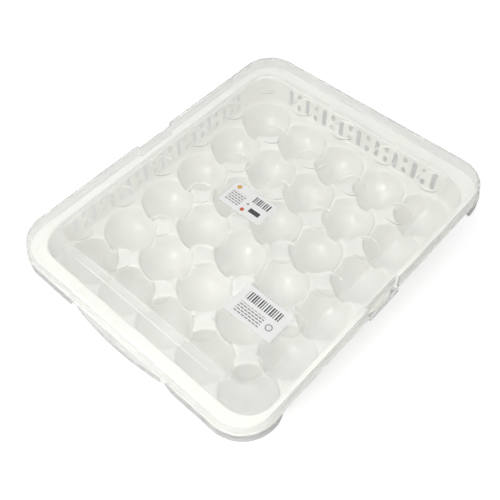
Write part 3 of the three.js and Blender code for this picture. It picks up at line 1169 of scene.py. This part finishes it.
@dataclass
class ClearLid:
    """The clear moulding: panel with dimples, rim, skirt, bands, finger grips and catch straps.

    Its outline gets points at the stops, measured from the middle of a side, and evenly along stretches
    that have a count. A zone says where a bend starts and ends, measured from its middle. The bead's rows
    are shares of its rounding, outwards and upwards, and those of the foot and the face are places.
    """

    rim: RoundedBox = RoundedBox(161.5, 131.5, 30.4)
    panel: RoundedBox = LID_PANEL
    rim_height: float = 72.0
    panel_height: float = 74.4
    hem: float = 58.3
    wall: float = 1.3
    bevel: float = 6.0
    edge_round: float = 1.8
    draft: float = 0.5
    ledge: float = 2.1
    plain_bead: float = 0.3
    bead_round: float = 0.8
    bead_top: Rows = ((0.1, 0.5), (0.35, 0.1), (0.6, 0.0))
    bead_edge: Rows = ((-0.3, 0.0), (-0.08, -0.1), (0.0, -0.35))
    foot_outside: Rows = ((0.05, 0.45), (0.0, 0.12), (-0.25, 0.0))
    foot_inside: Rows = ((0.25, 0.0), (0.0, 0.15))
    face_inside: Rows = ((0.1, 0.15), (0.0, 0.4))
    face_top: tuple[float, float] = (0.02, -0.4)
    lip_gap: float = 1.0
    roof_gap: float = 0.5
    least_foot: float = 0.2
    rim_inset: float = 4.0
    band_depth: float = 10.5
    band_start: float = 128.1
    grip_length: float = 94.0
    grip_bulge: float = 3.6
    grip_gap: float = 4.0
    grip_depth: float = 7.0
    setback: float = 3.0
    pocket_half: float = 20.0
    dimple_radius: float = 11.1
    dimple_spread: float = 0.9
    dimple_depth: float = 0.5
    dimple_edge: float = 12.1
    dimple_flat: tuple[float, ...] = (4.0, 9.0)
    panel_round: float = 1.0
    panel_edge: float = 0.2
    foot_round: float = 1.5
    band_end: float = 9.0
    bend: float = 0.6
    grip_bend: float = 1.0
    support: float = 0.3
    strap_inner: float = 132.45
    strap_wall: float = 1.3
    strap_height: float = 4.0
    strap_turn: float = 1.8
    strap_cut: float = 0.3
    strap_roots: tuple[float, ...] = (128.4, 129.6)
    strap_middle: float = 8.0
    pocket_stops: tuple[float, ...] = (0, 4, 8, 12, 16, 18)
    side_stops: tuple[float, ...] = (22, 25, 32, 45, 60, 80, 100, 115, 122)
    end_stops: tuple[float, ...] = (68, 78, 88, 97)
    corner_count: int = 20
    grip_count: int = 22
    gap_count: int = 14
    band_count: int = 12
    gap_spacing: float = 0.4
    gap_spare: float = 1.2
    pocket_zone: tuple[float, float] = (-1.4, 1.1)
    grip_zone: tuple[float, float] = (-0.2, 0.8)
    sharp: float = 50.0
    cups: CupGrid = field(default_factory=CupGrid)
    finish: ClearPlastic = ClearPlastic()

    @property
    def panel_low(self) -> float:
        """The height of the panel's underside."""
        return self.panel_height - self.wall

    def stations(self) -> np.ndarray:
        """Give the stations round the lid, closest where its outline changes.

        Returns:
            The stations, in order.
        """
        pocket_bend = self.pocket_half + np.arange(*self.pocket_zone, self.support)
        band = (self.band_start - self.band_end, self.band_start + self.bend)
        side = [*self.pocket_stops, *pocket_bend, *self.side_stops, *np.linspace(*band, self.band_count)]
        half = self.grip_length / 2
        grip = [half * math.sin(QUARTER_TURN * step / self.grip_count) for step in range(self.grip_count)]
        gap_end = half + self.grip_gap
        gap = np.arange(half - self.support, gap_end - self.gap_spare, self.gap_spacing)
        gap_bend = np.linspace(gap_end - self.grip_bend, gap_end + self.band_end, self.gap_count)
        end = [*grip, *gap, *gap_bend, *self.end_stops]
        corner = [(step + 0.5) / self.corner_count for step in range(self.corner_count)]
        found = []
        for quarter in range(4):
            offsets = np.array(side if quarter % 2 else end) / self.rim.reach[1 - quarter % 2]
            found += [2 * quarter + (1 + offset) / 2 for offset in (*-offsets, *offsets)]
            found += [2 * quarter + 1 + share for share in corner]
        return np.unique(np.round(found, 6))

    def sections(self, stations: np.ndarray) -> list[tuple[RoundedBox, Any, Any]]:
        """Give the lid's section from the panel's top over the rim to the panel's underside.

        Args:
            stations: Where the section is taken.

        Returns:
            Outlines, outsets and heights, with one number for all stations or one each.
        """
        spot = np.abs(self.rim.at(stations))
        on_end = spot[:, 0] > self.rim.x - WELD
        half = self.grip_length / 2
        bulge = np.where(on_end & (spot[:, 1] < half), self.grip_bulge * (1 - (spot[:, 1] / half) ** 2), 0)
        ledged = ease(spot[:, 0], self.band_start - self.band_end, self.band_start + self.bend)
        width = self.plain_bead + (self.ledge - self.draft - self.plain_bead) * ledged + bulge
        gap_end = half + self.grip_gap
        rise = ease(spot[:, 1], gap_end - self.grip_bend, gap_end + self.band_end)
        banded = ledged * np.where(on_end, rise, 1)
        grip_foot = ease(spot[:, 1], half + self.grip_zone[0], half + self.grip_zone[1])
        gripped = np.where(on_end, 1 - grip_foot, 0)
        lip = self.hem + self.wall
        deep = np.maximum(self.band_depth * banded, self.grip_depth * gripped)
        foot = lip - np.maximum(self.wall + self.least_foot, deep)
        pocket = 1 - ease(spot[:, 0], self.pocket_half - self.bend, self.pocket_half + self.bend)
        back = np.where(on_end | (spot[:, 1] < self.rim.y - WELD), 0, -self.setback * pocket)
        slant = self.slant()
        top = [(self.panel, place, self.panel_height - drop) for place, drop in slant]
        under = [(self.panel, place, self.panel_low - drop) for place, drop in reversed(slant)]
        rim = self._rim_rows(back, width, lip, foot)
        return top + [(self.rim, out, height) for out, height in rim] + under

    def _rim_rows(self, back: np.ndarray, width: np.ndarray, lip: float, foot: np.ndarray) -> list:
        """Give the rim's section, from its top down the skirt, round its foot and up inside.

        Args:
            back: How far the outline is set back at each station.
            width: How far the ledge or bead stands out at each station.
            lip: The height of the ledge's top.
            foot: The height of the skirt's foot at each station.

        Returns:
            Outsets and heights.
        """
        bead = np.minimum(width, self.bead_round)
        face = back + self.draft
        out = face + width
        shoulder = self.rim_height - self.edge_round
        insets = (self.rim_inset, self.edge_round + self.support, self.edge_round)
        rows = [(back - inset, self.rim_height) for inset in insets]
        rows += [(back - self.edge_round + s, self.rim_height - v) for s, v in arc(self.edge_round, 5)]
        rows += [(back + self.face_top[0], shoulder + self.face_top[1]), (face, lip + self.lip_gap)]
        rows += [(face + across * bead, lip + up * bead) for across, up in self.bead_top]
        rows += [(out + across * bead, lip + up * bead) for across, up in self.bead_edge]
        rows += [(out + across, foot + up) for across, up in self.foot_outside]
        rows += [(out - self.wall + across, foot + up) for across, up in self.foot_inside]
        roof = np.maximum(foot + self.roof_gap, self.hem)
        inside = out - self.wall
        rows += [(inside - self.face_top[0], roof), (inside - bead / 2, roof + self.face_inside[0][1])]
        rows += [(face - self.wall + across, roof + up) for across, up in self.face_inside]
        ceiling = self.rim_height - self.wall
        rows += [(back - self.wall, shoulder), (back - self.edge_round, ceiling - self.face_inside[0][0])]
        rows += [(back - inset, ceiling) for inset in (self.edge_round + self.roof_gap, self.rim_inset)]
        return rows

    def slant(self) -> list[tuple[float, float]]:
        """Give the slope from the panel to the rim, with both bends rounded.

        Returns:
            Places outwards of the panel, and how far each lies under its top.
        """
        fall = (self.panel_height - self.rim_height) / self.bevel
        high = self.panel_round
        low = self.foot_round
        shares = np.linspace(-1, 1, 6)
        found = [(high * share, fall * high * (1 + share) ** 2 / 4) for share in shares]
        for share in shares:
            found.append((self.bevel + low * share, fall * (self.bevel - low * (1 - share) ** 2 / 4)))
        return found

    def skin(self) -> Skin:
        """Make the lid without its dimples, whose places are left open.

        Returns:
            The lid's faces, top and underside.
        """
        skin = Skin()
        stations = self.stations()
        rings = [skin.ring(outline.at(stations, out), z) for outline, out, z in self.sections(stations)]
        skin.loft(rings)
        circle = self.dimple_edge * unit_arrows(self.cups.even_fan())
        columns = [(i - (self.cups.columns - 1) / 2) * self.cups.pitch for i in range(self.cups.columns)]
        lines = [(i - (self.cups.rows - 1) / 2) * self.cups.pitch for i in range(self.cups.rows)]
        for edge, height, flip in ((rings[0], self.panel_height, False), (rings[-1], self.panel_low, True)):
            border = skin.ring(self.panel.at(stations, -self.panel_round - self.panel_edge), height)
            skin.bridge(border, edge, flip)
            holes = [skin.ring(circle + (x, y), height) for x in columns for y in lines]
            skin.sheet_with_holes(border, holes, flip)
        return skin

    def dimple(self) -> Skin:
        """Make one dimple, top and underside, as a disc that fills a hole of the panel.

        Returns:
            The two sheets, open at their edge.
        """
        skin = Skin()
        circle = unit_arrows(self.cups.even_fan())
        spread = self.dimple_spread
        slope = np.linspace(self.dimple_radius - spread, self.dimple_radius + spread, 7)
        radii = [*self.dimple_flat, *slope, self.dimple_edge]
        depths = self.dimple_depth * (1 - ease(radii, slope[0], slope[-1]))
        for height, flip in ((self.panel_height, False), (self.panel_low, True)):
            middle = skin.ring(np.zeros((1, 2)), height - self.dimple_depth)[0]
            rings = [skin.ring(circle * radius, height - depth) for radius, depth in zip(radii, depths)]
            skin.disc(middle, rings, flip)
        return skin

    def strap(self) -> Skin:
        """Make one catch strap: a bar that leaves the pocket's sides and passes outside the lug.

        Returns:
            The closed bar.
        """
        centre = self.strap_inner + self.strap_wall / 2
        start = self.pocket_half - self.strap_wall / 2
        turn = self.strap_turn
        path = [(start, y) for y in (*self.strap_roots, centre - turn - self.support)]
        bend = turn * unit_arrows(np.linspace(0, QUARTER_TURN, 7)) + (start - turn, centre - turn)
        path += [*bend, (start - turn - self.support, centre), (self.strap_middle, centre), (0.0, centre)]
        path += [(-x, y) for x, y in reversed(path[:-1])]
        plan = np.array(path)
        along = np.gradient(plan, axis=0)
        along /= np.linalg.norm(along, axis=1)[:, None]
        across = np.stack([along[:, 1], -along[:, 0]], axis=1)
        top = self.hem + self.wall
        drop = ease(plan[:, 1], centre - turn, centre)
        low = top - self.wall - (self.strap_height - self.wall) * drop
        return self._bar(plan, across, low, top)

    def _bar(self, plan: np.ndarray, across: np.ndarray, low: np.ndarray, top: float) -> Skin:
        """Sweep a small rounded section along a path.

        Args:
            plan: The path seen from above.
            across: The direction to its side at each point.
            low: The bottom's height at each point.
            top: The top's height.

        Returns:
            The closed bar.
        """
        skin = Skin()
        half = self.strap_wall / 2
        cut = self.strap_cut
        offsets = np.array([-half, cut - half, half - cut, half, half, half - cut, cut - half, -half])
        rises = np.array([cut, 0, 0, cut, -cut, 0, 0, -cut])
        sections = []
        for spot, side, foot in zip(plan, across, low):
            heights = rises + np.repeat([foot, top], 4)
            sections.append(skin.ring(spot + offsets[:, None] * side, heights))
        skin.loft(sections)
        skin.faces.append(tuple(sections[0]))
        skin.faces.append(tuple(reversed(sections[-1])))
        return skin

    def build(self) -> bpy.types.Object:
        """Build the lid with its node tree.

        Returns:
            The lid.
        """
        host = self.skin().build("clear_lid")
        dimple = self.dimple().build("dimple")
        strap = self.strap().build("strap")
        tree = GeometryGraph("clear_lid")
        points = self.cups.spots(tree)[0]
        dimples = tree.scatter(points, tree.solid(tree.input("Dimple", "Object", dimple)))
        shell = tree.welded([tree.geometry, dimples])
        bar = tree.solid(tree.input("Strap", "Object", strap))
        bars = tree.realized([bar, tree.moved(bar, (0.0, 0.0, 0.0), 2 * QUARTER_TURN)])
        tree.close(tree.combined("UNION", shell, bars), self.finish.material())
        tree.run(host, self.sharp)
        discard([dimple, strap])
        return host


@dataclass(frozen=True)
class StickerPrint:
    """The generic print of a sticker: rows of dashes, a block of stripes and plain marks.

    An area is given as low u, high u, low v and high v, in millimetres from the sticker's middle, and a
    mark as its u, v, radius and colour. Stripes and dashes are counted per millimetre.
    """

    name: str
    width: float
    length: float
    centre: tuple[float, float]
    stripes: Area
    lines: Area
    marks: tuple[tuple[float, float, float, Colour], ...]
    bar: Area | None = None
    paper: Colour = (0.97, 0.97, 0.96, 1.0)
    ink: Colour = (0.05, 0.05, 0.055, 1.0)
    gloss: float = 0.4
    grain_gloss: float = 0.1
    grain_size: float = 0.5
    grain_depth: float = 0.01
    grain_strength: float = 0.2
    stripe_rate: float = 0.46
    stripe_thin: float = 0.3
    stripe_extra: float = 0.4
    stripe_mixing: float = 0.618
    row_rate: float = 0.42
    row_ink: float = 0.42
    row_shift: float = 0.37
    dash_rate: float = 0.27
    dash_ink: float = 0.8
    dash_strength: float = 0.8

    def material(self) -> bpy.types.Material:
        """Make the material.

        Returns:
            The material.
        """
        shader = Shader(self.name)
        x, y, _ = shader.axes(shader.place())
        u = x / MILLIMETRE - self.centre[0]
        v = y / MILLIMETRE - self.centre[1]
        ink = self._stripes(u, v) + self._dashes(u, v)
        if self.bar:
            ink = ink + self._block(u, v, self.bar)
        colour = shader.blend(ink, self.paper, self.ink)
        for across, along, radius, tint in self.marks:
            du = abs(u - across)
            dv = abs(v - along)
            spot = (du * du + dv * dv) < radius**2
            colour = shader.blend(spot, colour, tint)
        grain = shader.noise(self.grain_size)
        inputs = {
            "Base Color": colour,
            "Roughness": self.gloss + self.grain_gloss * grain,
            "Normal": shader.bump(grain, self.grain_depth, self.grain_strength),
        }
        return shader.finish(shader.add("ShaderNodeBsdfPrincipled", inputs=inputs))

    def _block(self, u: Value, v: Value, area: Area) -> Value:
        """Give 1 inside an area."""
        return u.between(area[0], area[1]) * v.between(area[2], area[3])

    def _stripes(self, u: Value, v: Value) -> Value:
        """Draw stripes of uneven width along v.

        Args:
            u: The place across the sticker.
            v: The place along it.

        Returns:
            1 where there is ink.
        """
        place = v * self.stripe_rate
        width = self.stripe_thin + self.stripe_extra * ((place.floor() * self.stripe_mixing) % 1)
        return (place % 1 < width) * self._block(u, v, self.stripes)

    def _dashes(self, u: Value, v: Value) -> Value:
        """Draw rows of small dashes along v.

        Args:
            u: The place across the sticker.
            v: The place along it.

        Returns:
            How strong the ink is.
        """
        row = u * self.row_rate
        along = v * self.dash_rate + row.floor() * self.row_shift
        dashed = (row % 1 < self.row_ink) * (along % 1 < self.dash_ink)
        return dashed * self._block(u, v, self.lines) * self.dash_strength


@dataclass
class Sticker:
    """A printed film on the lid's panel. It dips a little over the dimples, and its corners may curl."""

    name: str
    node: str
    paint: StickerPrint
    base: float = 74.46
    thickness: float = 0.12
    corner: float = 2.0
    curl: float = 0.0
    curl_start: float = 0.55
    curl_end: float = 1.1
    sag: float = 0.12
    sag_start: float = 3.0
    sag_end: float = 11.0
    ring_count: int = 12
    corner_points: int = 7
    side_points: int = 17
    sharp: float = 40.0
    cups: CupGrid = field(default_factory=CupGrid)

    def build(self) -> bpy.types.Object:
        """Build the film as a closed sheet.

        Returns:
            The film.
        """
        outline = RoundedBox(self.paint.width / 2, self.paint.length / 2, self.corner)
        parts = []
        for part in range(8):
            parts.append(np.linspace(part, part + 1, self.corner_points if part % 2 else self.side_points))
        stations = np.unique(np.concatenate(parts) % 8)
        shares = np.linspace(0, 1, self.ring_count)[1:]
        skin = Skin()
        sheets = []
        for lift in (self.thickness, 0.0):
            rings = []
            for share in shares:
                plan = outline.at(stations) * share
                rings.append(skin.ring(plan + self.paint.centre, self._height(plan) + lift))
            middle = skin.ring(np.array([self.paint.centre]), self._height(np.zeros((1, 2))) + lift)[0]
            sheets.append((rings, middle))
        (upper, top), (lower, bottom) = sheets
        skin.disc(top, upper)
        skin.bridge(upper[-1], lower[-1])
        skin.disc(bottom, lower, flip=True)
        film = skin.build(self.name)
        film.data.polygons.foreach_set("use_smooth", [True] * len(film.data.polygons))
        film.data.set_sharp_from_angle(angle=math.radians(self.sharp))
        film.data.materials.append(self.paint.material())
        return film

    def _height(self, plan: np.ndarray) -> np.ndarray:
        """Find the film's height over the ground.

        Args:
            plan: Points measured from its middle.

        Returns:
            The height at each point.
        """
        x = plan[:, 0] + self.paint.centre[0]
        y = plan[:, 1] + self.paint.centre[1]
        pitch = self.cups.pitch
        off_x = x - (np.floor(x / pitch) + 0.5) * pitch
        off_y = y - np.round(y / pitch) * pitch
        sag = self.sag * (1 - ease(np.hypot(off_x, off_y), self.sag_start, self.sag_end))
        far = (np.abs(plan[:, 0]) / (self.paint.width / 2)) * (np.abs(plan[:, 1]) / (self.paint.length / 2))
        curl = self.curl * ease(far, self.curl_start, self.curl_end) * (plan[:, 0] < 0)
        return self.base - sag + curl


@dataclass(frozen=True)
class PhotoCamera:
    """The camera, fitted to the grid of cups in the photograph."""

    place: tuple[float, float, float] = (278.4, 251.2, 529.7)
    azimuth: float = 133.33
    elevation: float = 54.26
    roll: float = -1.44
    focal_pixels: float = 694.09
    picture_pixels: float = 500.0
    sensor: float = 36.0
    nearest: float = 10.0
    farthest: float = 10000.0

    def build(self) -> None:
        """Make the camera and give it to the scene."""
        data = bpy.data.cameras.new("camera")
        data.sensor_width = self.sensor
        data.lens = self.focal_pixels / self.picture_pixels * self.sensor
        data.clip_start = self.nearest * MILLIMETRE
        data.clip_end = self.farthest * MILLIMETRE
        camera = bpy.data.objects.new("camera", data)
        azimuth = math.radians(self.azimuth)
        elevation = math.radians(self.elevation)
        back = Vector((
            math.sin(azimuth) * math.cos(elevation),
            -math.cos(azimuth) * math.cos(elevation),
            math.sin(elevation),
        ))
        right = (-back).cross(Vector((0, 0, 1))).normalized()
        up = back.cross(right)
        turn = Matrix((right, up, back)).transposed().to_4x4()
        spin = Matrix.Rotation(math.radians(self.roll), 4, "Z")
        spot = Matrix.Translation([value * MILLIMETRE for value in self.place])
        camera.matrix_world = spot @ turn @ spin
        bpy.context.scene.collection.objects.link(camera)
        bpy.context.scene.camera = camera


@dataclass(frozen=True)
class SoftLamp:
    """A large soft lamp that points at the box. Its sizes and places are in metres, its power in watts."""

    name: str
    place: tuple[float, float, float]
    width: float
    height: float
    power: float
    target: tuple[float, float, float] = (0.0, 0.0, 0.03)

    def build(self) -> None:
        """Make the lamp."""
        data = bpy.data.lights.new(self.name, "AREA")
        data.shape = "RECTANGLE"
        data.size = self.width
        data.size_y = self.height
        data.energy = self.power
        lamp = bpy.data.objects.new(self.name, data)
        lamp.location = self.place
        lamp.rotation_mode = "QUATERNION"
        lamp.rotation_quaternion = (Vector(self.target) - Vector(self.place)).to_track_quat("-Z", "Y")
        bpy.context.scene.collection.objects.link(lamp)


@dataclass
class Studio:
    """A white floor, an even white surround and soft lamps."""

    floor_half: float = 3000.0
    floor_height: float = -0.05
    floor_shade: Colour = (0.7, 0.7, 0.7, 1.0)
    floor_glow: float = 0.6
    white: Colour = (1.0, 1.0, 1.0, 1.0)
    surround: float = 0.37
    lamps: tuple[SoftLamp, ...] = (
        SoftLamp("softbox", (0.18, -0.58, 1.22), 0.2, 0.45, 1.2),
        SoftLamp("window", (0.92, 0.143, 0.565), 0.18, 0.36, 1.95),
        SoftLamp("front", (0.9, 1.1, 0.9), 0.8, 0.8, 3.2),
        SoftLamp("side", (0.95, -0.7, 0.95), 0.3, 0.5, 1.5),
        SoftLamp("fill", (1.6, 0.1, 1.6), 1.0, 1.0, 4.9),
        SoftLamp("top", (0.0, 0.0, 1.5), 1.5, 1.5, 3.4),
    )

    def build(self) -> None:
        """Make the floor, the world and the lamps."""
        skin = Skin()
        skin.faces.append(tuple(skin.ring(CORNER_SIGNS * self.floor_half, self.floor_height)))
        floor = skin.build("floor")
        floor.data.materials.append(self._floor_material())
        for lamp in self.lamps:
            lamp.build()
        self._surround_world()
        view = bpy.context.scene.view_settings
        view.view_transform = "Standard"

    def _seen(self, graph: Graph) -> Value:
        """Find the rays that show the background, straight or in gloss or glass.

        Args:
            graph: The world's tree.

        Returns:
            1 for such a ray, or else 0.
        """
        path = graph.add("ShaderNodeLightPath")
        camera, gloss, glass = (
            Value(graph, path.outputs[f"Is {kind} Ray"]) for kind in ("Camera", "Glossy", "Transmission"))
        return (camera + gloss + glass) > 0.5

    def _floor_material(self) -> bpy.types.Material:
        """Make the floor's finish: plain matt white that keeps the shadow.

        Returns:
            The material.
        """
        shader = Shader("floor_white")
        camera = Value(shader, shader.add("ShaderNodeLightPath").outputs["Is Camera Ray"])
        matt = shader.add("ShaderNodeBsdfDiffuse", inputs={"Color": self.floor_shade})
        light = {"Color": self.white, "Strength": self.floor_glow * camera}
        glow = shader.add("ShaderNodeEmission", inputs=light)
        both = shader.add("ShaderNodeAddShader", inputs={0: matt.outputs[0], 1: glow.outputs[0]})
        return shader.finish(both)

    def _surround_world(self) -> None:
        """Make the world: white where it is seen, and softer where it lights."""
        world = bpy.data.worlds.new("surround")
        world.use_nodes = True
        graph = Graph(world.node_tree)
        world.node_tree.nodes.clear()
        strength = self.surround + (1 - self.surround) * self._seen(graph)
        light = graph.add("ShaderNodeBackground", inputs={"Color": self.white, "Strength": strength})
        graph.add("ShaderNodeOutputWorld", inputs={"Surface": light.outputs[0]})
        bpy.context.scene.world = world


def stickers() -> list[Sticker]:
    """Describe the two stickers with their plain prints.

    Returns:
        The stickers.
    """
    grey: Colour = (0.45, 0.45, 0.46, 1.0)
    pale: Colour = (0.93, 0.93, 0.92, 1.0)
    rust: Colour = (0.62, 0.12, 0.05, 1.0)
    sand: Colour = (0.75, 0.42, 0.12, 1.0)
    centre = StickerPrint(
        name="centre_print",
        width=26.0,
        length=45.0,
        centre=(4.7, -8.2),
        stripes=(-10.0, -3.0, 1.0, 19.0),
        lines=(-4.0, 9.0, -19.0, -4.0),
        bar=(2.5, 7.0, 6.0, 17.0),
        marks=((-8.5, -17.0, 2.2, sand), (8.5, 1.0, 1.9, rust), (1.0, 1.2, 1.3, grey)),
    )
    corner = StickerPrint(
        name="corner_print",
        width=29.4,
        length=46.5,
        centre=(79.0, 70.5),
        stripes=(-11.0, -3.0, -17.0, 17.0),
        lines=(0.5, 11.5, -17.0, 8.0),
        marks=((5.0, 14.5, 3.2, grey), (5.0, 14.5, 2.0, pale)),
    )
    return [
        Sticker("centre_sticker", "sticker_centre", centre),
        Sticker("corner_sticker", "sticker_corner", corner, curl=0.8),
    ]


def ride(piece: bpy.types.Object, body: str, nodes: list[str]) -> None:
    """Fix a piece to its body, hide the parts that it replaces and log its face count.

    Args:
        piece: The finished piece.
        body: The body that it moves with.
        nodes: The nodes that it replaces.
    """
    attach(piece, body)
    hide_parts(*nodes)
    log.info("%s: %d faces on %s", piece.name, len(piece.data.polygons), body)


def main() -> None:
    """Build every piece in order."""
    logging.basicConfig(level=logging.INFO, format="%(message)s")
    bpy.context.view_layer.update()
    tray_nodes = [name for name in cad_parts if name.startswith(("egg_cup", "tray_"))]
    lid_nodes = [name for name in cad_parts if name.startswith("lid")]
    ride(EggTray().build(), "tray", tray_nodes)
    ride(ClearLid().build(), "lid", lid_nodes)
    for sticker in stickers():
        ride(sticker.build(), "lid", [sticker.node])
    Studio().build()
    PhotoCamera().build()


if __name__ == "__main__":
    main()
